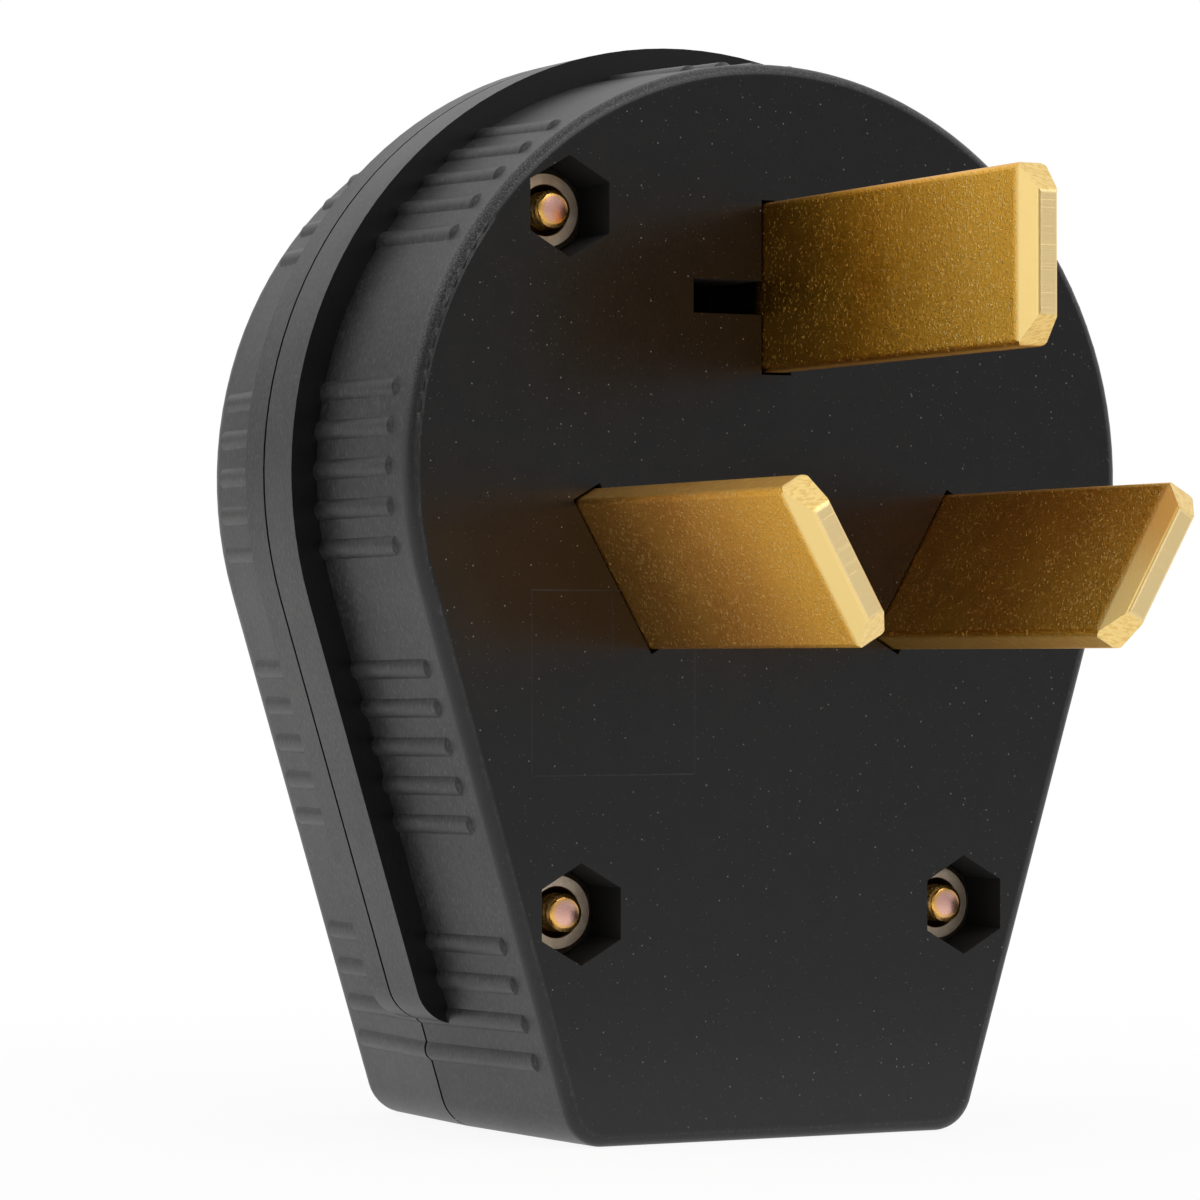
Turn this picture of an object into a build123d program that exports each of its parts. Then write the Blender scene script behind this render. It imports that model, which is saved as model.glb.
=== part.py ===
from build123d import *
import os
from math import cos, degrees, radians, sin, tan

os.makedirs("parts", exist_ok=True)

# Three-blade angled plug. X runs to the right as seen from the front, Y into the body, Z up.
# The origin is the centre of the round head, on the flat mating face.

# Housing: round head with straight sides that close in to a flat base, sizes at the parting plane
head_radius = 31.45
side_angle = 17.0
base_drop = 50.0
corner_radius = 3.2
draft = 2.5
front_depth = 19.5
rear_depth = 16.5
face_round = 1.0
back_round = 2.5

# Walls of the two halves
side_wall = 3.0
face_wall = 4.2
back_wall = 3.0
base_wall = 5.0

# Rim band that covers the parting line and runs out above the base
rim_height = 1.85
rim_front = 5.0
rim_rear = 3.4
rim_end_rise = 8.4
rim_run_out = 3.4

# Narrow seam left open round the parting plane, half in each shell
seam_gap = 0.14
seam_depth = 0.6

# Grip ribs: half-round bars in groups round the head and down the sides
rib_radius = 1.0
rib_height = 0.33
rib_nose = 0.5
rib_pitch = 3.0
rib_front_gap = 1.55
rib_rear_gap = 0.3
ribs_per_group = 5
head_group_angles = (0, 45, -45, 90, -90)
side_group_drop = 20.7
low_ribs = 4
low_rib_rise = 14.6

# Blades
blade_width = 12.7
blade_thickness = 2.36
blade_edge_round = 0.5
line_length = 32.2
neutral_length = 37.4
neutral_offset = 13.8
line_offset = 14.8
line_slant = 30.0
tip_length = 2.3
tip_corner = 2.1
tip_thickness = 1.5
tip_edge_round = 0.3
tip_start_round = 4.0
tip_corner_round = 0.6
slot_gap = 0.1
slot_end_gap = 0.2

# Empty leg of the L-shaped slot, beside the neutral blade
leg_reach = 7.1
leg_height = 13.0

# Blade tails inside the housing
tail_width = 15.0
tail_depth = 24.4
shoulder_depth = 7.0
fork_width = 4.5
fork_depth = 4.0
pad_margin = 2.6
guide_depth = 16.0
guide_grip = 1.5
guide_wall = 2.0
tail_stop_gap = 0.1

# Wire clamps and their screws
terminal_depth = 12.5
clamp_width = 10.5
clamp_thickness = 1.6
clamp_reach = 4.6
lip_thickness = 1.4
lip_stand = 0.5
lip_gap = 0.15
terminal_shank_radius = 2.4
terminal_head_radius = 4.8
terminal_head_height = 2.6
terminal_head_bevel = 0.9
terminal_run_out = 3.5
terminal_hole_gap = 0.2
thread_gap = 0.03

# Screws that hold the halves together, with nuts sunk in the face
upper_screw_inset = 5.5
upper_screw_angle = 42.27
lower_screw_inset = 6.36
lower_screw_rise = 17.2
screw_radius = 1.42
screw_hole_gap = 0.2
screw_end_depth = 2.5
screw_end_chamfer = 0.4
screw_head_radius = 2.75
screw_head_height = 1.9
screw_head_bevel = 0.6
head_recess_gap = 0.35
head_recess_spare = 0.2
boss_radius = 4.7
nut_flats = 6.35
nut_thickness = 2.4
nut_depth = 4.0
nut_bevel = 0.95
nut_mouth_radius = 1.95
pocket_gap = 0.1

# Cord entry in the base, half in each shell
cord_radius = 10.2
saddle_rise = 10.4
saddle_thickness = 2.0

body_depth = front_depth + rear_depth
slant = radians(side_angle)
lean = radians(draft)
face_radius = head_radius - front_depth * tan(lean)
inner_radius = face_radius - side_wall
pocket_floor = nut_depth + nut_thickness
head_seat = body_depth - screw_head_height - head_recess_spare

rim_end_drop = base_drop - rim_end_rise
low_rib_drop = base_drop - low_rib_rise
saddle_drop = base_drop - saddle_rise

FORWARD = Vector(0, -1, 0)
BACKWARD = Vector(0, 1, 0)


def side_at(radius, drop):
    """Distance of the straight side from the middle, at a drop below the head's centre."""
    return radius / cos(slant) - drop * tan(slant)


upper_reach = head_radius - upper_screw_inset
upper_screw_x = upper_reach * sin(radians(upper_screw_angle))
upper_screw_z = upper_reach * cos(radians(upper_screw_angle))
lower_screw_drop = base_drop - lower_screw_rise
lower_screw_x = side_at(head_radius, lower_screw_drop) - lower_screw_inset
screw_spots = {
    "upper_left": (-upper_screw_x, upper_screw_z),
    "upper_right": (upper_screw_x, upper_screw_z),
    "lower_left": (-lower_screw_x, -lower_screw_drop),
    "lower_right": (lower_screw_x, -lower_screw_drop),
}


def across(depth, facing=BACKWARD):
    """Plane across the body at a depth behind the face, looking forward or backward."""
    return Plane(origin=(0, depth, 0), x_dir=(-facing.Y, 0, 0), z_dir=facing)


def outline(radius, drop):
    """Round head that runs tangent into two straight sides, closed by a straight foot."""
    touch_x = radius * cos(slant)
    touch_z = -radius * sin(slant)
    foot_x = side_at(radius, drop)
    head = ThreePointArc((touch_x, touch_z), (0, radius), (-touch_x, touch_z))
    left = Line((-touch_x, touch_z), (-foot_x, -drop))
    foot = Line((-foot_x, -drop), (foot_x, -drop))
    right = Line((foot_x, -drop), (touch_x, touch_z))
    return make_face([head, left, foot, right])


def post(x, z, radius, start, end):
    """Round bar along the depth of the body."""
    seat = Plane(origin=(x, start, z), x_dir=(1, 0, 0), z_dir=BACKWARD)
    return seat * Cylinder(radius, end - start, align=(Align.CENTER, Align.CENTER, Align.MIN))


def hexagon(x, z, flats, start, end):
    """Hexagonal bar along the depth of the body, with a corner at the top."""
    shape = RegularPolygon(flats / 2, 6, major_radius=False, rotation=30)
    seat = Plane(origin=(x, start, z), x_dir=(1, 0, 0), z_dir=BACKWARD)
    return extrude(seat * shape, end - start)


def blade_frame(across_dir, offset):
    """Frame of a blade: x through its thickness, y along its width, z out of the face."""
    return Plane(origin=across_dir * offset, x_dir=across_dir, z_dir=FORWARD)


def in_frame(frame, thick, wide, start, end):
    """Block centred on a blade, between two depths behind the face."""
    return frame * Pos(0, 0, -(start + end) / 2) * Box(thick, wide, end - start)


outward = radians(line_slant)
right_dir = Vector(cos(outward), 0, -sin(outward))
left_dir = Vector(-cos(outward), 0, -sin(outward))
neutral_frame = Plane(origin=(0, 0, neutral_offset), x_dir=(1, 0, 0), z_dir=FORWARD)
frames = {
    "neutral": neutral_frame,
    "left": blade_frame(left_dir, line_offset),
    "right": blade_frame(right_dir, line_offset),
}
lengths = {"neutral": neutral_length, "left": line_length, "right": line_length}


def rib_places():
    """Foot point on the parting outline and outward direction of every grip rib."""
    places = []
    step = degrees(rib_pitch / head_radius)
    middle = (ribs_per_group - 1) / 2
    for centre in head_group_angles:
        for i in range(ribs_per_group):
            turn = radians(centre + (i - middle) * step)
            out = Vector(sin(turn), 0, cos(turn))
            places.append((out * head_radius, out))
    drops = [side_group_drop + (i - middle) * rib_pitch * cos(slant) for i in range(ribs_per_group)]
    drops += [low_rib_drop + i * rib_pitch * cos(slant) for i in range(low_ribs)]
    for side in (-1, 1):
        out = Vector(side * cos(slant), 0, -sin(slant))
        for drop in drops:
            places.append((Vector(side * side_at(head_radius, drop), 0, -drop), out))
    return places


def rib(spot, out, facing, reach):
    """Half-round bar that follows the drafted wall from the parting plane and tapers to a rounded nose."""
    along = facing * cos(lean) - out * sin(lean)
    off_wall = out * cos(lean) + facing * sin(lean)
    sunk = rib_radius - rib_height
    run = reach / cos(lean) - rib_nose
    foot = spot + BACKWARD * front_depth - off_wall * sunk
    start = Plane(origin=foot - along * rib_radius, x_dir=-off_wall, z_dir=along)
    bar = start * Cylinder(rib_radius, run + rib_radius, align=(Align.CENTER, Align.CENTER, Align.MIN))
    end = Plane(origin=foot + along * run, x_dir=-off_wall, z_dir=along)
    nose = end * Cone(rib_radius, sunk - rib_height, 2 * rib_nose, align=(Align.CENTER, Align.CENTER, Align.MIN))
    return bar + nose


def moulding(facing, depth, rim, edge_round, rib_gap):
    """Outer form of one half: drafted block, flat base, rim band and grip ribs."""
    parting = across(front_depth, facing)
    block = extrude(parting * outline(head_radius, base_drop + corner_radius), depth, taper=draft)
    block = split(block, Plane.XY.offset(-base_drop), keep=Keep.TOP)
    foot_edges = block.edges().group_by(Axis.Z)[0]
    block = fillet([e for e in foot_edges if abs(e.center().X) > corner_radius], corner_radius)
    end_face = block.faces().sort_by(Axis((0, 0, 0), facing))[-1]
    block = fillet(end_face.edges(), edge_round)
    band = extrude(parting * outline(head_radius + rim_height, rim_end_drop), rim)
    band = fillet(band.edges().filter_by(Axis.Y).group_by(Axis.Z)[0], rim_run_out)
    reach = depth - edge_round - rib_gap
    ribs = [rib(spot, out, facing, reach) for spot, out in rib_places()]
    whole = block + band + ribs
    return split(whole, parting, keep=Keep.TOP)


def seam(facing):
    """Hairline step back from the parting plane, round the outside of one half."""
    plane = across(front_depth, facing)
    around = Box(head_radius * 4, head_radius * 4, seam_gap, align=(Align.CENTER, Align.CENTER, Align.MIN))
    return plane * around - extrude(plane * outline(head_radius - seam_depth, base_drop - seam_depth), seam_gap * 2)


def hollow(facing, depth, end_wall):
    """Wire chamber of one half, from the parting plane to the inside of its end wall."""
    return extrude(across(front_depth, facing) * outline(inner_radius, base_drop - base_wall), depth - end_wall)


def saddle():
    """Rib across the lower chamber that the cord lies in."""
    reach = head_radius * 2
    return Pos(0, front_depth, -saddle_drop) * Box(reach, reach, saddle_thickness)


def cord_bore():
    """Round way in through the base and the saddle."""
    top = saddle_drop - saddle_thickness
    length = base_drop - top + 1
    return Pos(0, front_depth, -base_drop - 1) * Cylinder(
        cord_radius, length, align=(Align.CENTER, Align.CENTER, Align.MIN)
    )


def front_shell():
    chamber = hollow(FORWARD, front_depth, face_wall)
    keep = [post(x, z, boss_radius, 0, front_depth) for x, z in screw_spots.values()]
    keep.append(saddle())
    pad_thick = blade_thickness + 2 * pad_margin
    for frame in frames.values():
        keep.append(in_frame(frame, pad_thick, tail_width + 2 * pad_margin, 0, shoulder_depth))
        span = tail_width + 2 * guide_wall
        guides = in_frame(frame, blade_thickness + 2 * guide_wall, span, 0, guide_depth)
        between = tail_width - 2 * guide_grip
        keep.append(guides - in_frame(frame, pad_thick, between, shoulder_depth, guide_depth + 1))
    shell = moulding(FORWARD, front_depth, rim_front, face_round, rib_front_gap) - (chamber - keep)
    slot_thick = blade_thickness + 2 * slot_gap
    cuts = [cord_bore(), seam(FORWARD)]
    for frame in frames.values():
        cuts.append(in_frame(frame, slot_thick, blade_width + 2 * slot_end_gap, -1, shoulder_depth + 1))
        cuts.append(in_frame(frame, slot_thick, tail_width + 2 * slot_gap, shoulder_depth, front_depth))
    leg = Box(leg_reach, shoulder_depth + 2, slot_thick, align=(Align.MAX, Align.MIN, Align.CENTER))
    cuts.append(Pos(0, -1, leg_height) * leg)
    for x, z in screw_spots.values():
        cuts.append(hexagon(x, z, nut_flats + 2 * pocket_gap, -1, pocket_floor))
        cuts.append(post(x, z, screw_radius + screw_hole_gap, -1, front_depth + 1))
    return shell - cuts


def rear_shell():
    chamber = hollow(BACKWARD, rear_depth, back_wall)
    keep = [post(x, z, boss_radius, front_depth, body_depth) for x, z in screw_spots.values()]
    keep.append(saddle())
    for frame in frames.values():
        stop_thick = blade_thickness + 2 * guide_wall
        keep.append(in_frame(frame, stop_thick, tail_width, tail_depth + tail_stop_gap, body_depth))
    shell = moulding(BACKWARD, rear_depth, rim_rear, back_round, rib_rear_gap) - (chamber - keep)
    cuts = [cord_bore(), seam(BACKWARD)]
    for x, z in screw_spots.values():
        cuts.append(post(x, z, screw_head_radius + head_recess_gap, head_seat, body_depth + 1))
        cuts.append(post(x, z, screw_radius + screw_hole_gap, front_depth - 1, body_depth))
    return shell - cuts


def blade(length):
    """Flat bar with a bevelled tip, shoulders behind the face and a forked tail, in its own frame."""
    half, half_tail, half_fork = blade_width / 2, tail_width / 2, fork_width / 2
    right_side = [
        (half_fork, fork_depth - tail_depth),
        (half_fork, -tail_depth),
        (half_tail, -tail_depth),
        (half_tail, -shoulder_depth),
        (half, -shoulder_depth),
        (half, length - tip_length),
        (half - tip_corner, length),
    ]
    left_side = [(-x, z) for x, z in reversed(right_side)]
    flat = make_face(Polyline(*right_side, *left_side, close=True))
    flat = fillet(flat.vertices().filter_by_position(Axis.Y, length - tip_length, length), tip_corner_round)
    plan = extrude(Plane.YZ * flat, blade_thickness, both=True)
    thick, end = blade_thickness / 2, tip_thickness / 2
    edge = [(thick, -tail_depth), (thick, length - tip_length), (end, length)]
    edge += [(-x, z) for x, z in reversed(edge)]
    side = make_face(Polyline(*edge, close=True))
    side = fillet(side.vertices().group_by(Axis.Y)[-1], tip_edge_round)
    side = fillet(side.vertices().filter_by_position(Axis.Y, length - tip_length, length - tip_length), tip_start_round)
    upright = Plane(origin=(0, 0, 0), x_dir=(1, 0, 0), z_dir=FORWARD)
    section = extrude(upright * side, tail_width, both=True)
    hole = Pos(0, 0, -terminal_depth) * Rot(0, 90, 0) * Cylinder(
        terminal_shank_radius + terminal_hole_gap, blade_thickness * 2
    )
    rounded = Pos(0, 0, -shoulder_depth) * extrude(
        RectangleRounded(blade_thickness, blade_width, blade_edge_round), length + shoulder_depth
    )
    tail = Pos(0, 0, -tail_depth) * Box(
        blade_thickness, tail_width, tail_depth - shoulder_depth, align=(Align.CENTER, Align.CENTER, Align.MIN)
    )
    return (plan & section & (rounded + tail)) - hole


def clamp():
    """Tapped plate on the inner side of a tail, with a lip through the fork, in the blade's frame."""
    lip_start = tail_depth - fork_depth + lip_gap
    lip_end = lip_start + lip_thickness
    start = terminal_depth - clamp_reach
    under = Align.MAX, Align.CENTER, Align.MIN
    plate = Pos(-blade_thickness / 2, 0, -lip_end) * Box(clamp_thickness, clamp_width, lip_end - start, align=under)
    lip_length = clamp_thickness + blade_thickness + lip_stand
    lip = Pos(blade_thickness / 2 + lip_stand, 0, -lip_end) * Box(
        lip_length, fork_width - 2 * lip_gap, lip_thickness, align=under
    )
    hole = Pos(0, 0, -terminal_depth) * Rot(0, 90, 0) * Cylinder(
        terminal_shank_radius + thread_gap, (blade_thickness + clamp_thickness) * 2
    )
    return plate + lip - hole


def terminal_screw():
    """Binding-head screw through a tail into its clamp plate, in the blade's frame."""
    seat = Plane(origin=(blade_thickness / 2, 0, -terminal_depth), x_dir=(0, 0, 1), z_dir=(1, 0, 0))
    up = Align.CENTER, Align.CENTER, Align.MIN
    down = Align.CENTER, Align.CENTER, Align.MAX
    head = Cylinder(terminal_head_radius, terminal_head_height, align=up)
    head = chamfer(head.edges().sort_by(Axis.Z)[-1], terminal_head_bevel)
    shank = Cylinder(terminal_shank_radius, blade_thickness + clamp_thickness + terminal_run_out, align=down)
    return seat * (head + shank)


def housing_screw(x, z):
    """Machine screw from the back of the rear shell to just short of the face."""
    shank = post(x, z, screw_radius, screw_end_depth, head_seat)
    shank = chamfer(shank.edges().sort_by(Axis.Y)[0], screw_end_chamfer)
    head = post(x, z, screw_head_radius, head_seat, head_seat + screw_head_height)
    head = chamfer(head.edges().sort_by(Axis.Y)[-1], screw_head_bevel)
    return shank + head


def housing_nut(x, z):
    """Hexagon nut with bevelled corners and a countersunk mouth."""
    body = hexagon(x, z, nut_flats, nut_depth, pocket_floor)
    corner = nut_flats / 2 / cos(radians(30))
    turned = post(x, z, corner, nut_depth, pocket_floor)
    turned = chamfer(turned.edges().filter_by(GeomType.CIRCLE), nut_bevel)
    bore_radius = screw_radius + thread_gap
    mouth_depth = nut_mouth_radius - bore_radius
    mouth = Plane(origin=(x, nut_depth, z), x_dir=(1, 0, 0), z_dir=BACKWARD) * Cone(
        nut_mouth_radius, bore_radius, mouth_depth, align=(Align.CENTER, Align.CENTER, Align.MIN)
    )
    return (body & turned) - post(x, z, bore_radius, nut_depth - 1, pocket_floor + 1) - mouth


pieces = {"front_shell": front_shell(), "rear_shell": rear_shell()}
for side, frame in frames.items():
    name = "neutral_blade" if side == "neutral" else f"line_blade_{side}"
    pieces[name] = frame * blade(lengths[side])
    pieces[f"{side}_clamp"] = frame * clamp()
    pieces[f"{side}_terminal_screw"] = frame * terminal_screw()
for place, (x, z) in screw_spots.items():
    pieces[f"housing_screw_{place}"] = housing_screw(x, z)
    pieces[f"housing_nut_{place}"] = housing_nut(x, z)

for name, solid in pieces.items():
    export_step(solid, f"parts/{name}.step")
    print(name, "solids", len(solid.solids()), "volume", round(solid.volume, 1))
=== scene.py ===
import math

import bmesh
import bpy
from mathutils import Matrix, Vector


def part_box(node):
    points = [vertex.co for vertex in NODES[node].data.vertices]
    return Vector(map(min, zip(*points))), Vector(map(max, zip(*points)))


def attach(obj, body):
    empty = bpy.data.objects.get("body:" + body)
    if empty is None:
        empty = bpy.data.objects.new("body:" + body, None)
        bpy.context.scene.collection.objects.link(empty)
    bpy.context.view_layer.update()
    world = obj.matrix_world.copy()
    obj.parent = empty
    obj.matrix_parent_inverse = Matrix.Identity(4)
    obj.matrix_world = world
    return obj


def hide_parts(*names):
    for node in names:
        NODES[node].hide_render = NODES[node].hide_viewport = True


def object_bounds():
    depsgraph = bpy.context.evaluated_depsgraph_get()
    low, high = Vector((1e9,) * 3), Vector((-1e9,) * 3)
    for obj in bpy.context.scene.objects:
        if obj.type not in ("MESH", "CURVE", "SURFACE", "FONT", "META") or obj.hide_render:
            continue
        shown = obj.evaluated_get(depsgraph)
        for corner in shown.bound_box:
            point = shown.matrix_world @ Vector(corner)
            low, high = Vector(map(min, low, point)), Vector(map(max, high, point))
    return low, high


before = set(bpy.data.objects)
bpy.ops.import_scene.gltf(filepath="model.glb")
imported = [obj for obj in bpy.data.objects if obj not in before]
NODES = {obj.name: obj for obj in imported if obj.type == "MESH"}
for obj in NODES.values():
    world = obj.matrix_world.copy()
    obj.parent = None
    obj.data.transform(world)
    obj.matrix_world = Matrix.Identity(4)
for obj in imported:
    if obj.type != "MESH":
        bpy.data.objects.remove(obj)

CAD_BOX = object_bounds()
MM = 0.001

# Blades: the way across each one's width, the way out of the face that looks left, and how rough it is and how
# much painted light it gets.
SLANT = math.radians(30)
LEAN_X = math.sin(SLANT)
LEAN_Z = math.cos(SLANT)
BLADES = {
    "neutral_blade": ((0.0, 0.0, 1.0), (-1.0, 0.0, 0.0), 0.0),
    "line_blade_left": ((-LEAN_X, 0.0, LEAN_Z), (-LEAN_Z, 0.0, -LEAN_X), 0.09),
    "line_blade_right": ((LEAN_X, 0.0, LEAN_Z), (-LEAN_Z, 0.0, LEAN_X), 0.02),
}

# Tumbling marks on the brass: their directions, in degrees from the way across the blade, how fine the soft
# strokes are, how long a mark is drawn, how fine the bright flecks are, and the slice of the pattern in use.
STROKE_TURNS = (38.0, -47.0, -8.0, 82.0)
STROKE_SCALE = 8600.0
STROKE_SQUEEZE = 0.3
FLECK_SCALE = 5400.0
FLECK_PLANE = 1.18 * MM

# Blades get lighter, by wear and by painted light, from the first of these depths to the second, and painted
# shade from the third to the fourth.
WORN_LIT_FROM = -14.0 * MM
WORN_LIT_FULL = -32.0 * MM
SHADE_WITHIN_FROM = 0.2 * MM
SHADE_WITHIN_FULL = 1.5 * MM

# Screws: their places, and how far beside the middle and how high the nuts of the upper and lower pairs sit.
SCREW_NAMES = ("upper_left", "upper_right", "lower_left", "lower_right")
NUT_SPOTS = ((17.455 * MM, 19.2 * MM), (16.5 * MM, -32.8 * MM))
NUT_MOUTH = 1.9 * MM
MOUTH_BLUR = 0.04 * MM

# Housing: lean of its straight sides, depth of the seam, bounds of what lies within the outer walls, depths of
# the polished face, of its rounded edge and of the step at the rim, and widths of the dark seam.
SIDE_ANGLE = math.radians(17.0)
SEAM_DEPTH = 19.5 * MM
INSIDE_REACH = 29.9 * MM
HEAD_LOW = -9.0 * MM
INSIDE_LOW = -48.0 * MM
INSIDE_FRONT = 0.05 * MM
INSIDE_BACK = 33.2 * MM
FACE_DEPTH = 0.2 * MM
EDGE_DEPTH = 1.15 * MM
STEP_DEPTH = 1.5 * MM
SEAM_NARROW = 0.08 * MM
SEAM_EXTRA = 0.16 * MM

# Dust on the housing: how fine each size is, the share of cells left clean, and its level.
DUST = ((1500.0, 0.62, 0.17), (2700.0, 0.40, 0.11))


# Materials.

class Shader:
    """A material's node tree with short calls for the nodes it uses."""

    def __init__(self, name):
        self.material = bpy.data.materials.new(name)
        self.material.use_nodes = True
        self.tree = self.material.node_tree
        self.tree.nodes.clear()
        self.out = self.tree.nodes.new("ShaderNodeOutputMaterial")
        self.bsdf = self.tree.nodes.new("ShaderNodeBsdfPrincipled")
        self.tree.links.new(self.bsdf.outputs[0], self.out.inputs[0])

    def put(self, socket, value):
        if isinstance(value, bpy.types.NodeSocket):
            self.tree.links.new(value, socket)
        else:
            socket.default_value = value

    def node(self, kind, inputs=None, **settings):
        made = self.tree.nodes.new(kind)
        for name, value in settings.items():
            setattr(made, name, value)
        for name, value in (inputs or {}).items():
            self.put(made.inputs[name], value)
        return made

    def place(self):
        return self.node("ShaderNodeTexCoord").outputs["Object"]

    def normal(self):
        return self.node("ShaderNodeNewGeometry").outputs["Normal"]

    def split(self, vector):
        return self.node("ShaderNodeSeparateXYZ", {0: vector}).outputs

    def math(self, operation, a, b=0.0):
        return self.node("ShaderNodeMath", {0: a, 1: b}, operation=operation).outputs[0]

    def dot(self, vector, direction):
        made = self.node("ShaderNodeVectorMath", {0: vector, 1: direction}, operation="DOT_PRODUCT")
        return made.outputs["Value"]

    def step(self, value, low, high):
        made = self.node("ShaderNodeMapRange", {0: value, 1: low, 2: high, 3: 0.0, 4: 1.0},
                         interpolation_type="SMOOTHSTEP")
        return made.outputs[0]

    def span(self, value, low, high, start, end):
        return self.node("ShaderNodeMapRange", {0: value, 1: low, 2: high, 3: start, 4: end}).outputs[0]

    def noise(self, vector, scale, detail=2.0, roughness=0.5, distortion=0.0):
        made = self.node("ShaderNodeTexNoise", {"Vector": vector, "Scale": scale, "Detail": detail,
                                                "Roughness": roughness, "Distortion": distortion})
        return made.outputs[0]

    def cells(self, vector, scale):
        made = self.node("ShaderNodeTexVoronoi", {"Vector": vector, "Scale": scale})
        return made.outputs["Distance"], made.outputs["Color"]

    def mix(self, factor, a, b):
        made = self.node("ShaderNodeMix", {0: factor, 6: a, 7: b}, data_type="RGBA")
        return made.outputs[2]

    def blend(self, factor, a, b):
        made = self.node("ShaderNodeMix", {0: factor, 2: a, 3: b}, data_type="FLOAT")
        return made.outputs[0]

    def bump(self, height, strength, distance, normal=None):
        made = self.node("ShaderNodeBump", {"Height": height, "Strength": strength, "Distance": distance})
        if normal is not None:
            self.put(made.inputs["Normal"], normal)
        return made.outputs[0]

    def finish(self, color, roughness, normal, metallic=0.0, **constants):
        self.put(self.bsdf.inputs["Base Color"], color)
        self.put(self.bsdf.inputs["Roughness"], roughness)
        self.put(self.bsdf.inputs["Normal"], normal)
        self.bsdf.inputs["Metallic"].default_value = metallic
        for name, value in constants.items():
            self.bsdf.inputs[name.replace("_", " ")].default_value = value
        return self.material


def rgb(r, g, b):
    return (r, g, b, 1.0)


def housing_material():
    """Black moulded plastic: polished mating face, grained walls, pale dust, dark recesses and seam."""
    s = Shader("housing_plastic")
    at = s.place()
    x, y, z = s.split(at)
    _, ny, nz = s.split(s.normal())
    broad = s.noise(at, 70.0, 3.0)
    cloud = s.noise(at, 420.0, 3.0, 0.6)
    drawn = s.node("ShaderNodeCombineXYZ", {0: x, 1: y, 2: s.math("MULTIPLY", z, 0.4)}).outputs[0]
    grain = s.noise(drawn, 5200.0, 2.0, 0.6)
    fine = s.noise(drawn, 4600.0, 2.0, 0.7)
    face = s.math("MULTIPLY", s.step(ny, -0.97, -0.995), s.math("LESS_THAN", y, FACE_DEPTH))
    walls = s.mix(s.step(cloud, 0.35, 0.65), rgb(0.011, 0.0112, 0.012), rgb(0.020, 0.0182, 0.0175))
    walls = s.mix(s.step(grain, 0.48, 0.68), walls, rgb(0.046, 0.0435, 0.0425))
    walls = s.mix(s.step(fine, 0.5, 0.3), walls, rgb(0.005, 0.005, 0.005))
    polished = s.mix(s.step(cloud, 0.4, 0.6), rgb(0.0030, 0.0031, 0.0035), rgb(0.0050, 0.0042, 0.0040))
    color = s.mix(face, walls, polished)
    # Rounded edge of the mating face: darker than the walls, with its grain scuffed lighter, more so where it
    # faces up: painted light.
    near_face = s.math("LESS_THAN", y, EDGE_DEPTH)
    band = s.math("MULTIPLY", near_face, s.step(ny, -0.985, -0.9))
    color = s.mix(s.math("MULTIPLY", band, 0.8), color, rgb(0.004, 0.004, 0.005))
    # Scuffed grain on the edge, painted lighter where the edge faces up, as painted light from above.
    scuffed_and_lit = s.mix(s.step(nz, 0.0, 0.4), rgb(0.012, 0.012, 0.014), rgb(0.085, 0.083, 0.082))
    speck = s.step(s.noise(at, 9500.0, 2.0, 0.6), 0.47, 0.62)
    color = s.mix(s.math("MULTIPLY", band, speck), color, scuffed_and_lit)
    # Dust: small pale points, only in some of the cells, in two sizes.
    share = s.math("ADD", 0.3, s.math("MULTIPLY", 0.7, face))
    for scale, above, level in DUST:
        spread, pick = s.cells(at, scale)
        chosen = s.math("GREATER_THAN", s.split(pick)[0], above)
        dot = s.math("MULTIPLY", s.math("SUBTRACT", 1.0, s.step(spread, 0.04, 0.13)), chosen)
        color = s.mix(s.math("MULTIPLY", dot, share), color, rgb(level, level * 0.95, level * 0.88))
    # Step in front of the rim, walls of the pockets and slots, and the seam, which light hardly reaches.
    radius = s.math("POWER", s.math("ADD", s.math("MULTIPLY", x, x), s.math("MULTIPLY", z, z)), 0.5)
    out_x = s.math("MULTIPLY", s.math("ABSOLUTE", x), math.cos(SIDE_ANGLE))
    beside = s.math("SUBTRACT", out_x, s.math("MULTIPLY", z, math.sin(SIDE_ANGLE)))
    reach = s.blend(s.math("GREATER_THAN", z, HEAD_LOW), beside, radius)
    within = s.math("LESS_THAN", reach, INSIDE_REACH)
    within = s.math("MULTIPLY", within, s.math("GREATER_THAN", z, INSIDE_LOW))
    within = s.math("MULTIPLY", within, s.math("GREATER_THAN", y, INSIDE_FRONT))
    within = s.math("MULTIPLY", within, s.math("LESS_THAN", y, INSIDE_BACK))
    ahead = s.math("MULTIPLY", s.step(ny, -0.8, -0.95), s.math("GREATER_THAN", y, STEP_DEPTH))
    off_seam = s.math("ABSOLUTE", s.math("SUBTRACT", y, SEAM_DEPTH))
    loose = s.step(s.noise(at, 260.0, 4.0, 0.65), 0.5, 0.7)
    wander = s.math("ADD", SEAM_NARROW, s.math("MULTIPLY", loose, SEAM_EXTRA))
    seam = s.math("LESS_THAN", off_seam, wander)
    dark = s.math("MAXIMUM", s.math("MAXIMUM", ahead, within), seam)
    color = s.mix(s.math("MULTIPLY", dark, 0.95), color, rgb(0.0008, 0.0008, 0.0009))
    rough = s.span(broad, 0.3, 0.7, 0.38, 0.46)
    rough = s.blend(face, rough, s.span(grain, 0.3, 0.7, 0.20, 0.28))
    rough = s.blend(ahead, rough, 0.3)
    rough = s.blend(within, rough, 0.9)
    deep = s.blend(face, s.math("ADD", 0.22, s.math("MULTIPLY", band, 0.2)), 0.02)
    bumped = s.bump(grain, deep, 0.05 * MM)
    return s.finish(color, rough, bumped, Specular_IOR_Level=0.47)


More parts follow.
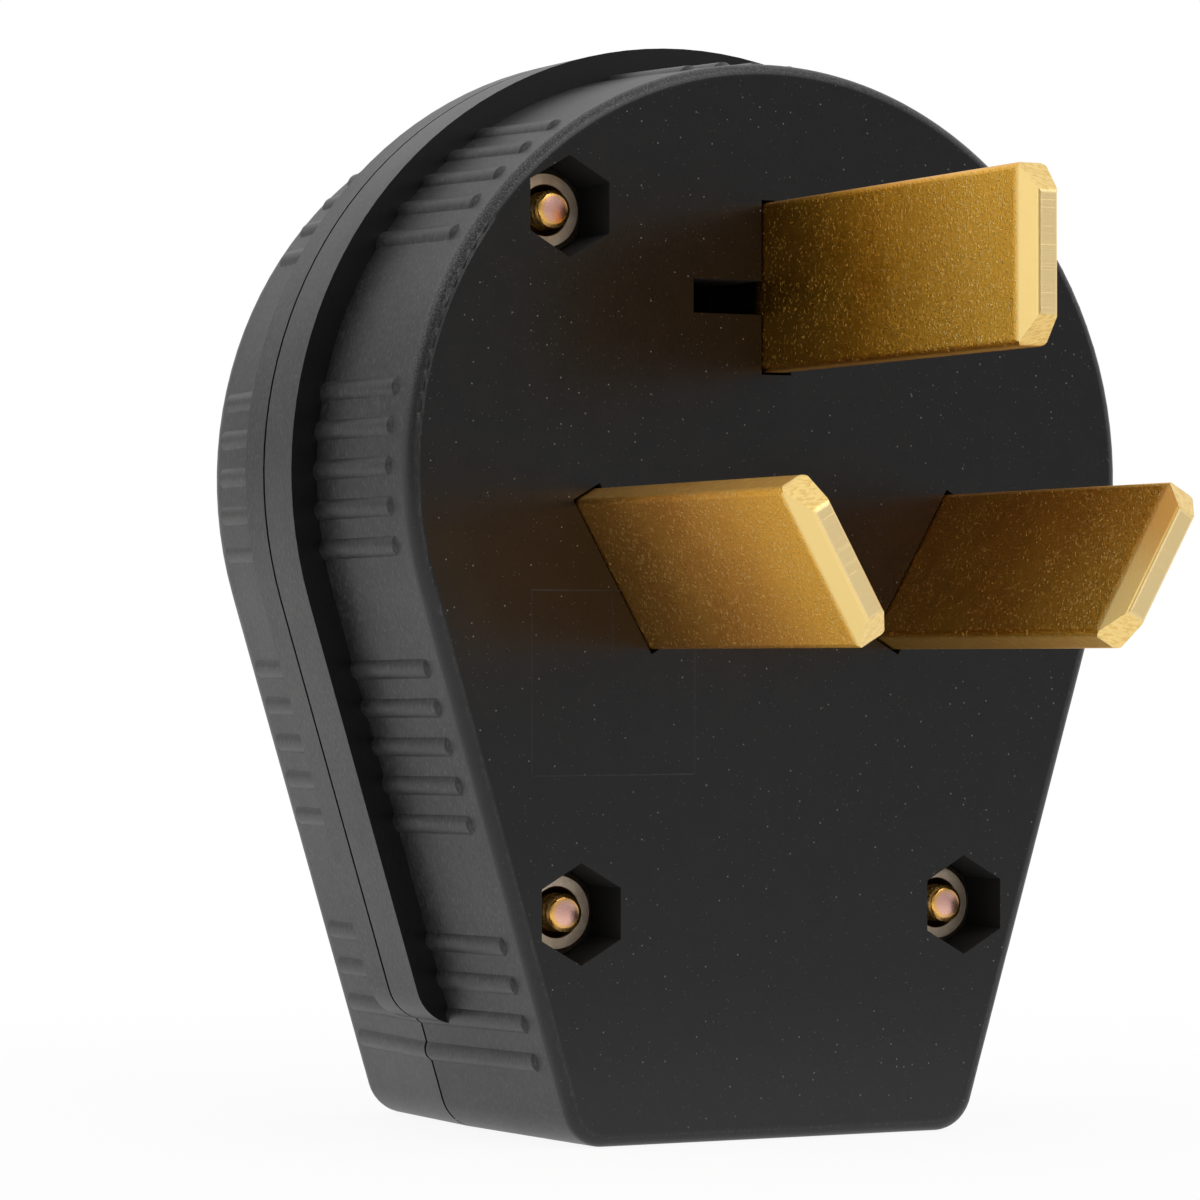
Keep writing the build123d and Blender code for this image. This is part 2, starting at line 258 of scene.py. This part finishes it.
def turned(s, u, v, w, degrees, squeeze):
    """Coordinates turned in their first two axes and squeezed along the new first one, for strokes."""
    c, n = math.cos(math.radians(degrees)), math.sin(math.radians(degrees))
    first = s.math("ADD", s.math("MULTIPLY", u, c * squeeze), s.math("MULTIPLY", v, n * squeeze))
    second = s.math("SUBTRACT", s.math("MULTIPLY", v, c), s.math("MULTIPLY", u, n))
    return s.node("ShaderNodeCombineXYZ", {0: first, 1: second, 2: w}).outputs[0]


def brass_material(name, across, outward, dull_and_lit):
    """Tumbled brass blade: flecked faces, torn marks on the narrow sides, a ground pale tip, painted shade
    within the housing.
    """
    s = Shader(name)
    at = s.place()
    normal = s.normal()
    along = s.split(at)[1]
    w = s.dot(at, across)
    t = s.dot(at, outward)
    flat = s.node("ShaderNodeCombineXYZ", {0: w, 1: along, 2: t}).outputs[0]
    crowd = s.span(s.noise(flat, 210.0, 3.0, 0.6), 0.35, 0.65, 0.86, 0.5)
    strokes = None
    fleck = None
    for turn in STROKE_TURNS:
        lying = turned(s, w, along, FLECK_PLANE, turn, STROKE_SQUEEZE)
        marks = s.noise(lying, STROKE_SCALE + 9.0 * turn, 2.0, 0.55)
        strokes = marks if strokes is None else s.math("MAXIMUM", strokes, marks)
        spread, pick = s.cells(lying, FLECK_SCALE + 7.0 * turn)
        chosen = s.math("GREATER_THAN", s.split(pick)[0], crowd)
        dash = s.math("MULTIPLY", s.math("SUBTRACT", 1.0, s.step(spread, 0.12, 0.26)), chosen)
        fleck = dash if fleck is None else s.math("MAXIMUM", fleck, dash)
    pit = s.noise(flat, 7500.0, 2.0, 0.6)
    stain = s.noise(flat, 130.0, 4.0, 0.6)
    tear = s.noise(turned(s, t, along, w, 35.0, 0.16), 5200.0, 3.0, 0.6, 0.2)
    sideways = s.math("ABSOLUTE", s.dot(normal, across))
    side = s.step(sideways, 0.75, 0.95)
    ends = s.split(normal)[1]
    tip = s.step(ends, -0.05, -0.15)
    flat_tip = s.step(ends, -0.75, -0.95)
    color = s.mix(s.step(stain, 0.35, 0.65), rgb(0.72, 0.29, 0.012), rgb(0.83, 0.38, 0.028))
    # Paler tone on the blades the light falls on more: painted light.
    color = s.mix(dull_and_lit * 5.0, color, rgb(0.74, 0.36, 0.11))
    # Lighter towards the tip: partly wear, partly painted light.
    worn_and_lit = s.step(along, WORN_LIT_FROM, WORN_LIT_FULL)
    color = s.mix(s.math("MULTIPLY", worn_and_lit, 0.8), color, rgb(1.0, 0.55, 0.07))
    speck = s.math("MULTIPLY", s.step(pit, 0.48, 0.36), s.span(worn_and_lit, 0.0, 1.0, 0.2, 0.5))
    color = s.mix(speck, color, rgb(0.34, 0.16, 0.02))
    # Bright flecks, more towards the tip and, as painted light, more on the blades the light falls on.
    shine = s.math("MULTIPLY", fleck, s.span(worn_and_lit, 0.0, 1.0, 0.3 + 3.0 * dull_and_lit, 0.95))
    color = s.mix(shine, color, rgb(1.0, 0.78, 0.34))
    color = s.mix(s.math("MULTIPLY", side, 0.8), color, rgb(0.66, 0.37, 0.08))
    torn = s.math("MULTIPLY", side, s.step(tear, 0.52, 0.7))
    color = s.mix(s.math("MULTIPLY", torn, 0.8), color, rgb(0.95, 0.64, 0.22))
    color = s.mix(tip, color, rgb(0.92, 0.68, 0.26))
    color = s.mix(flat_tip, color, rgb(1.0, 0.78, 0.40))
    corner = s.math("MULTIPLY", s.step(sideways, 0.35, 0.55), s.step(ends, -0.25, -0.45))
    color = s.mix(s.math("MULTIPLY", corner, s.step(tear, 0.45, 0.6)), color, rgb(0.80, 0.54, 0.18))
    # Painted shade on the part of the blade within the housing, where light hardly reaches.
    painted_shade_within = s.step(along, SHADE_WITHIN_FROM, SHADE_WITHIN_FULL)
    color = s.mix(s.math("MULTIPLY", painted_shade_within, 0.95), color, rgb(0.03, 0.02, 0.008))
    rough = s.span(pit, 0.3, 0.7, 0.26 + dull_and_lit, 0.38 + dull_and_lit)
    rough = s.blend(s.math("MULTIPLY", fleck, 0.6), rough, 0.24)
    rough = s.blend(side, rough, 0.45)
    rough = s.blend(tip, rough, 0.36)
    rough = s.blend(flat_tip, rough, 0.5)
    depth = s.blend(side, 0.85, 0.70)
    depth = s.blend(tip, depth, 0.05)
    depth = s.blend(flat_tip, depth, 0.4)
    depth = s.blend(corner, depth, 0.4)
    dents = s.math("ADD", s.math("MULTIPLY", strokes, 0.8), s.math("MULTIPLY", fleck, 0.3))
    height = s.blend(s.math("MAXIMUM", side, corner), dents, tear)
    bumped = s.bump(height, depth, 0.09 * MM)
    bumped = s.bump(pit, 0.3, 0.03 * MM, bumped)
    return s.finish(color, rough, bumped, metallic=1.0)


def plated_material(name, low, high, rough_low, rough_high, scale=900.0):
    """Plated steel or brass: cloudy colour, fine drawn grain and tiny pits."""
    s = Shader(name)
    at = s.place()
    cloud = s.noise(at, scale, 3.0, 0.55)
    grain = s.noise(at, scale * 9.0, 2.0, 0.6)
    color = s.mix(s.step(cloud, 0.3, 0.7), low, high)
    rough = s.span(grain, 0.3, 0.7, rough_low, rough_high)
    bumped = s.bump(grain, 0.15, 0.02 * MM)
    return s.finish(color, rough, bumped, metallic=1.0)


def clamp_material():
    """Bright nickel, with painted shade and faint painted glints on the edge that looks out through the empty
    slot.
    """
    s = Shader("nickel_plate")
    at = s.place()
    cloud = s.noise(at, 900.0, 3.0, 0.55)
    grain = s.noise(at, 8100.0, 2.0, 0.6)
    color = s.mix(s.step(cloud, 0.3, 0.7), rgb(0.58, 0.55, 0.50), rgb(0.70, 0.67, 0.62))
    # Painted shade, with faint upright painted glints, on the front edge that looks out through the slot.
    edge = s.step(s.split(s.normal())[1], -0.8, -0.95)
    upright = s.node("ShaderNodeVectorMath", {0: at, 1: (1.0, 1.0, 0.1)}, operation="MULTIPLY").outputs[0]
    glint_streak = s.step(s.noise(upright, 4200.0, 2.0), 0.6, 0.7)
    shade_with_glints = s.mix(glint_streak, rgb(0.012, 0.012, 0.011), rgb(0.10, 0.09, 0.075))
    color = s.mix(edge, color, shade_with_glints)
    rough = s.span(grain, 0.3, 0.7, 0.22, 0.36)
    return s.finish(color, rough, s.bump(grain, 0.15, 0.02 * MM), metallic=1.0)


def nut_material():
    """Dull zinc, beige on the face, with painted shade in the tapped mouth."""
    s = Shader("nut_plate")
    at = s.place()
    x, _, z = s.split(at)
    off = None
    for spot_x, spot_z in NUT_SPOTS:
        dx = s.math("SUBTRACT", s.math("ABSOLUTE", x), spot_x)
        dz = s.math("SUBTRACT", z, spot_z)
        gap = s.math("POWER", s.math("ADD", s.math("MULTIPLY", dx, dx), s.math("MULTIPLY", dz, dz)), 0.5)
        off = gap if off is None else s.math("MINIMUM", off, gap)
    cloud = s.noise(at, 1100.0, 3.0, 0.55)
    grain = s.noise(at, 9000.0, 2.0, 0.6)
    color = s.mix(s.step(cloud, 0.3, 0.7), rgb(0.66, 0.51, 0.37), rgb(0.82, 0.68, 0.52))
    color = s.mix(s.step(grain, 0.55, 0.75), color, rgb(0.86, 0.76, 0.62))
    # Painted shade in the tapped mouth around each screw's end.
    mouth = s.math("SUBTRACT", 1.0, s.step(off, NUT_MOUTH - MOUTH_BLUR, NUT_MOUTH + MOUTH_BLUR))
    color = s.mix(s.math("MULTIPLY", mouth, 0.93), color, rgb(0.03, 0.02, 0.012))
    rough = s.span(grain, 0.3, 0.7, 0.32, 0.48)
    return s.finish(color, rough, s.bump(grain, 0.3, 0.03 * MM), metallic=1.0)


def screw_material():
    """Yellow zinc over steel: a rosy middle and a golden rim, clouded."""
    s = Shader("zinc_yellow_plate")
    at = s.place()
    x, y, z = s.split(at)
    off = s.math("POWER", s.math("ADD", s.math("MULTIPLY", x, x), s.math("MULTIPLY", z, z)), 0.5)
    cloud = s.noise(at, 1400.0, 3.0, 0.55)
    grain = s.noise(at, 9000.0, 2.0)
    middle = s.math("SUBTRACT", 1.0, s.step(off, 0.7 * MM, 1.15 * MM))
    middle = s.math("MULTIPLY", middle, s.math("LESS_THAN", y, 2.0 * MM))
    color = s.mix(middle, rgb(0.94, 0.52, 0.12), rgb(0.92, 0.52, 0.44))
    color = s.mix(s.math("MULTIPLY", s.step(cloud, 0.4, 0.7), 0.3), color, rgb(0.70, 0.50, 0.34))
    rough = s.span(grain, 0.3, 0.7, 0.24, 0.4)
    return s.finish(color, rough, s.bump(grain, 0.15, 0.02 * MM), metallic=1.0)


# Dark card in front: depths at which it begins and is full, half of its blurred left edge, and its level.
CARD_NEAR = -45.0 * MM
CARD_FULL = -90.0 * MM
CARD_EDGE = 15.0 * MM
CARD_LEVEL = 0.65

# Paper: its own glow near the part and far off, which leaves the part's shadow between these distances.
GLOW_NEAR = 0.91
GLOW_FAR = 1.0
SHADE_NEAR = 50.0 * MM
SHADE_FAR = 220.0 * MM


def floor_material():
    """White paper that looks plain white far off and keeps the part's shadow near it."""
    s = Shader("floor_paper")
    at = s.place()
    cloud = s.noise(at, 25.0, 3.0)
    color = s.mix(cloud, rgb(0.86, 0.86, 0.86), rgb(0.89, 0.89, 0.89))
    bumped = s.bump(s.noise(at, 2500.0, 2.0), 0.05, 0.02 * MM)
    material = s.finish(color, 0.85, bumped, Specular_IOR_Level=0.1)
    path = s.node("ShaderNodeLightPath").outputs
    seen = s.math("MAXIMUM", path["Is Camera Ray"], path["Is Glossy Ray"])
    seen = s.math("MAXIMUM", seen, path["Is Transmission Ray"])
    x, y, _ = s.split(at)
    # In the part's gloss alone, the paper is darker in front on the right, as if a dark card lay there.
    card = s.math("MULTIPLY", s.step(y, CARD_NEAR, CARD_FULL), s.step(x, -CARD_EDGE, CARD_EDGE))
    card = s.math("MULTIPLY", card, path["Is Glossy Ray"])
    level = s.blend(card, 1.0, CARD_LEVEL)
    glow = s.node("ShaderNodeEmission", {"Color": rgb(1.0, 1.0, 1.0), "Strength": level})
    far = s.math("POWER", s.math("ADD", s.math("MULTIPLY", x, x), s.math("MULTIPLY", y, y)), 0.5)
    share = s.node("ShaderNodeMapRange", {0: far, 1: SHADE_NEAR, 2: SHADE_FAR, 3: GLOW_NEAR, 4: GLOW_FAR},
                   interpolation_type="SMOOTHSTEP").outputs[0]
    mixed = s.node("ShaderNodeMixShader", {0: s.math("MULTIPLY", seen, share)})
    s.tree.links.new(s.bsdf.outputs[0], mixed.inputs[1])
    s.tree.links.new(glow.outputs[0], mixed.inputs[2])
    s.tree.links.new(mixed.outputs[0], s.out.inputs[0])
    return material


def dress(obj, material):
    obj.data.materials.clear()
    obj.data.materials.append(material)


# Mesh helpers.

def link(name, mesh):
    obj = bpy.data.objects.new(name, mesh)
    bpy.context.scene.collection.objects.link(obj)
    return obj


def from_bmesh(name, bm, smooth_angle=35.0):
    bmesh.ops.recalc_face_normals(bm, faces=bm.faces)
    for edge in bm.edges:
        if len(edge.link_faces) == 2 and edge.calc_face_angle() > math.radians(smooth_angle):
            edge.smooth = False
    for face in bm.faces:
        face.smooth = True
    mesh = bpy.data.meshes.new(name)
    bm.to_mesh(mesh)
    bm.free()
    return link(name, mesh)


def cut_by(obj, cutter):
    """Subtract one closed mesh from another and keep the result as plain mesh data."""
    cut = obj.modifiers.new("cut", "BOOLEAN")
    cut.operation = "DIFFERENCE"
    cut.solver = "EXACT"
    cut.object = cutter
    bpy.context.view_layer.update()
    whole = obj.evaluated_get(bpy.context.evaluated_depsgraph_get())
    mesh = bpy.data.meshes.new_from_object(whole)
    obj.modifiers.clear()
    old = obj.data
    obj.data = mesh
    bpy.data.meshes.remove(old)
    bpy.data.objects.remove(cutter)


# Housing screws.

SCREW_RADIUS = 1.42 * MM
SCREW_ROOT = 1.10 * MM
THREAD_PITCH = 0.635 * MM
THREAD_LENGTH = 9.0 * MM
HEAD_RADIUS = 2.75 * MM
HEAD_HEIGHT = 1.9 * MM
HEAD_EASE = 0.15 * MM
HEAD_STRAIGHT = 0.95 * MM
HEAD_CROWN = 1.45 * MM
SHANK_RADIUS = SCREW_RADIUS * 0.93
THREAD_FADE = 0.4 * MM
END_CHAMFER = 0.3 * MM
CROSS_REACH = 1.45 * MM
CROSS_HALF = 0.36 * MM
CROSS_THROAT = 0.46 * MM
CROSS_DEPTH = 1.25 * MM
CROSS_POINT = 0.35 * MM
SHARP_ANGLE = 35.0


def screw_mesh(name, length):
    """Machine screw along +Y from its end: rolled thread, plain shank, pan head with a cross recess."""
    steps = 40
    per_turn = 12
    depth = SCREW_RADIUS - SCREW_ROOT
    end_radius = SCREW_ROOT - 0.02 * MM
    rows = int(THREAD_LENGTH / THREAD_PITCH * per_turn)
    bm = bmesh.new()
    grid = []
    for k in range(rows + 1):
        y = THREAD_LENGTH * k / rows
        row = []
        for i in range(steps):
            turn = i / steps
            phase = (y / THREAD_PITCH - turn) % 1.0
            crest = max(0.0, 1.0 - abs(phase - 0.5) / 0.42)
            rise = min(1.0, crest * 1.25)
            radius = min(SCREW_ROOT + depth * rise, end_radius + y + depth * y / END_CHAMFER)
            a = 2.0 * math.pi * turn
            row.append(bm.verts.new((radius * math.cos(a), y, radius * math.sin(a))))
        grid.append(row)
    head_at = length - HEAD_HEIGHT
    crown_at = head_at + HEAD_STRAIGHT
    crown_rise = HEAD_HEIGHT - HEAD_STRAIGHT
    profile = [
        (SHANK_RADIUS, THREAD_LENGTH + THREAD_FADE),
        (SHANK_RADIUS, head_at),
        (HEAD_RADIUS - HEAD_EASE, head_at),
        (HEAD_RADIUS, head_at + HEAD_EASE),
        (HEAD_RADIUS, crown_at),
    ]
    crown_steps = 6
    for k in range(1, crown_steps + 1):
        a = math.radians(90.0 * k / crown_steps)
        profile.append((HEAD_RADIUS - HEAD_CROWN * (1.0 - math.cos(a)), crown_at + crown_rise * math.sin(a)))
    for radius, y in profile:
        row = []
        for i in range(steps):
            a = 2.0 * math.pi * i / steps
            row.append(bm.verts.new((radius * math.cos(a), y, radius * math.sin(a))))
        grid.append(row)
    for lower, upper in zip(grid, grid[1:]):
        for i in range(steps):
            j = (i + 1) % steps
            bm.faces.new((lower[i], lower[j], upper[j], upper[i]))
    bm.faces.new(grid[0])
    bm.faces.new(list(reversed(grid[-1])))
    return from_bmesh(name, bm)


def cross_cutter(length):
    """Tapered four-armed cutter for the head's recess."""
    top = length + 0.2 * MM
    bottom = length - CROSS_DEPTH
    throat = CROSS_THROAT * 0.9
    bm = bmesh.new()
    rings = []
    for y, reach, narrow in ((top, CROSS_REACH, 1.0), (bottom, CROSS_REACH * 0.55, 0.8)):
        corners = ((reach, -CROSS_HALF), (reach, CROSS_HALF), (throat, CROSS_THROAT))
        ring = []
        for quarter in range(4):
            turn = Matrix.Rotation(math.radians(-90.0 * quarter), 3, "Y")
            for out, side in corners:
                point = turn @ Vector((out, 0.0, side * narrow))
                ring.append(bm.verts.new((point.x, y, point.z)))
        rings.append(ring)
    low = bm.verts.new((0.0, bottom - CROSS_POINT, 0.0))
    count = len(rings[0])
    for i in range(count):
        j = (i + 1) % count
        bm.faces.new((rings[0][i], rings[0][j], rings[1][j], rings[1][i]))
        bm.faces.new((rings[1][i], rings[1][j], low))
    bm.faces.new(list(reversed(rings[0])))
    return from_bmesh("cutter", bm)


def housing_screw(place, material):
    node = "housing_screw_" + place
    low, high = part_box(node)
    length = high.y - low.y
    screw = screw_mesh("screw_" + place, length)
    cut_by(screw, cross_cutter(length))
    for polygon in screw.data.polygons:
        polygon.use_smooth = True
    screw.data.set_sharp_from_angle(angle=math.radians(SHARP_ANGLE))
    screw.location = ((low.x + high.x) / 2.0, low.y, (low.z + high.z) / 2.0)
    dress(screw, material)
    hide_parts(node)
    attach(screw, "root")


# Face lines.

# Edges of the mould's insert on the mating face, each from one point to another in x and z, in millimetres.
INSERT_LEFT = -20.6
INSERT_RIGHT = -7.0
INSERT_LOW = -22.6
INSERT_HIGH = -9.0
INSERT_LINES = (
    ((INSERT_LEFT, INSERT_LOW), (INSERT_RIGHT, INSERT_LOW)),
    ((INSERT_LEFT, INSERT_HIGH), (INSERT_RIGHT, INSERT_HIGH)),
    ((INSERT_LEFT, INSERT_LOW), (INSERT_LEFT, INSERT_HIGH)),
    ((INSERT_RIGHT, INSERT_LOW), (INSERT_RIGHT, INSERT_HIGH)),
    ((-13.9, -14.0), (-13.9, -8.7)),
)


def face_lines(material):
    """Fine raised lines that the mould's insert left on the face: low half-round ridges, sunk in a little."""
    half = 0.045 * MM
    proud = 0.016 * MM
    sunk = 0.03 * MM
    shape = [(-half, sunk), (-half, 0.0), (-half * 0.6, -proud * 0.8), (0.0, -proud),
             (half * 0.6, -proud * 0.8), (half, 0.0), (half, sunk)]
    bm = bmesh.new()
    for (x0, z0), (x1, z1) in INSERT_LINES:
        along = Vector((x1 - x0, 0.0, z1 - z0)).normalized()
        beside = Vector((along.z, 0.0, -along.x))
        rings = []
        for x, z in ((x0, z0), (x1, z1)):
            middle = Vector((x * MM, 0.0, z * MM))
            rings.append([bm.verts.new(middle + beside * u + Vector((0.0, v, 0.0))) for u, v in shape])
        count = len(shape)
        for i in range(count):
            j = (i + 1) % count
            bm.faces.new((rings[0][i], rings[0][j], rings[1][j], rings[1][i]))
        bm.faces.new(rings[0])
        bm.faces.new(list(reversed(rings[1])))
    lines = from_bmesh("face_insert_lines", bm, 60.0)
    dress(lines, material)
    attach(lines, "root")


# Dressing the nodes.

def main():
    housing = housing_material()
    for name in ("front_shell", "rear_shell"):
        dress(NODES[name], housing)
    for name, (across, outward, dull_and_lit) in BLADES.items():
        dress(NODES[name], brass_material(name + "_brass", across, outward, dull_and_lit))
    nickel = clamp_material()
    for name in ("neutral_clamp", "left_clamp", "right_clamp"):
        dress(NODES[name], nickel)
    steel = plated_material("terminal_plate", rgb(0.60, 0.58, 0.55), rgb(0.72, 0.70, 0.67), 0.25, 0.4, 1300.0)
    for name in ("neutral_terminal_screw", "left_terminal_screw", "right_terminal_screw"):
        dress(NODES[name], steel)
    nut = nut_material()
    for place in SCREW_NAMES:
        dress(NODES["housing_nut_" + place], nut)
    face_lines(housing)
    screw = screw_material()
    for place in SCREW_NAMES:
        housing_screw(place, screw)
    stage()


# Stage, light and camera.

CAMERA_AT = (-0.1886, -0.3281, -0.0145)
CAMERA_LOOK = (0.4677, 0.8838, 0.0129)
CAMERA_LENS = 151.38
CAMERA_SENSOR = 36.0

# Light tent: heights between which it fades to its overhead level, its level in front, and dim gaps, each with
# its direction, where it fades in, where it is full, and its level.
TENT_LOW = 0.1
TENT_HIGH = 0.8
TENT_OVERHEAD = 0.95
TENT_FRONT = 0.42
TENT_GAPS = (
    ((-0.884, -0.468, 0.0), 0.62, 0.90, 0.06),
    ((-0.468, 0.884, 0.0), 0.86, 0.98, 0.6),
)
LIGHT_AIM = (0.0, 0.0, -0.01)
FLOOR_RADIUS = 3.0
FLOOR_GAP = 0.02 * MM


def area_light(name, at, size, power):
    data = bpy.data.lights.new(name, "AREA")
    data.shape = "SQUARE"
    data.size = size
    data.energy = power
    lamp = bpy.data.objects.new(name, data)
    bpy.context.scene.collection.objects.link(lamp)
    lamp.location = at
    lamp.rotation_euler = (Vector(LIGHT_AIM) - Vector(at)).to_track_quat("-Z", "Y").to_euler()


def world_light():
    """White tent: bright behind, dimmer in front and in two gaps on the left; plain white for the camera."""
    world = bpy.data.worlds.new("studio")
    bpy.context.scene.world = world
    world.use_nodes = True
    tree = world.node_tree
    tree.nodes.clear()
    out = tree.nodes.new("ShaderNodeOutputWorld")
    back = tree.nodes.new("ShaderNodeBackground")
    path = tree.nodes.new("ShaderNodeLightPath")
    coord = tree.nodes.new("ShaderNodeTexCoord")
    split = tree.nodes.new("ShaderNodeSeparateXYZ")
    tree.links.new(coord.outputs["Generated"], split.inputs[0])

    def ramp(value, low, high, start, end):
        made = tree.nodes.new("ShaderNodeMapRange")
        made.interpolation_type = "SMOOTHSTEP"
        tree.links.new(value, made.inputs[0])
        for slot, number in enumerate((low, high, start, end), 1):
            made.inputs[slot].default_value = number
        return made.outputs[0]

    height = ramp(split.outputs[2], TENT_LOW, TENT_HIGH, 1.0, TENT_OVERHEAD)
    front = ramp(split.outputs[1], -0.1, -0.6, 1.0, TENT_FRONT)
    shares = [front]
    for direction, start, full, dimmed in TENT_GAPS:
        beside = tree.nodes.new("ShaderNodeVectorMath")
        beside.operation = "DOT_PRODUCT"
        tree.links.new(coord.outputs["Generated"], beside.inputs[0])
        beside.inputs[1].default_value = direction
        shares.append(ramp(beside.outputs["Value"], start, full, 1.0, dimmed))
    level = height
    for share in shares:
        product = tree.nodes.new("ShaderNodeMath")
        product.operation = "MULTIPLY"
        tree.links.new(level, product.inputs[0])
        tree.links.new(share, product.inputs[1])
        level = product.outputs[0]
    seen = tree.nodes.new("ShaderNodeMix")
    seen.data_type = "FLOAT"
    seen.inputs[3].default_value = 1.0
    back.inputs["Color"].default_value = rgb(1.0, 1.0, 1.0)
    tree.links.new(level, seen.inputs[2])
    tree.links.new(path.outputs["Is Camera Ray"], seen.inputs[0])
    tree.links.new(seen.outputs[0], back.inputs["Strength"])
    tree.links.new(back.outputs[0], out.inputs[0])


def stage():
    low = CAD_BOX[0]
    bm = bmesh.new()
    bmesh.ops.create_circle(bm, cap_ends=True, radius=FLOOR_RADIUS, segments=96)
    floor = from_bmesh("floor", bm)
    floor.location = (0.0, 0.0, low[2] - FLOOR_GAP)
    dress(floor, floor_material())
    area_light("key", (-0.9, 0.1, 0.35), 1.0, 1.5)
    area_light("top", (0.15, -0.75, 0.8), 0.7, 4.0)
    world_light()
    data = bpy.data.cameras.new("camera")
    data.lens = CAMERA_LENS
    data.sensor_width = CAMERA_SENSOR
    data.clip_start = 0.01
    camera = bpy.data.objects.new("camera", data)
    bpy.context.scene.collection.objects.link(camera)
    camera.location = CAMERA_AT
    camera.rotation_euler = Vector(CAMERA_LOOK).to_track_quat("-Z", "Y").to_euler()
    bpy.context.scene.camera = camera
    bpy.context.scene.view_settings.view_transform = "Standard"


main()
bpy.context.view_layer.update()
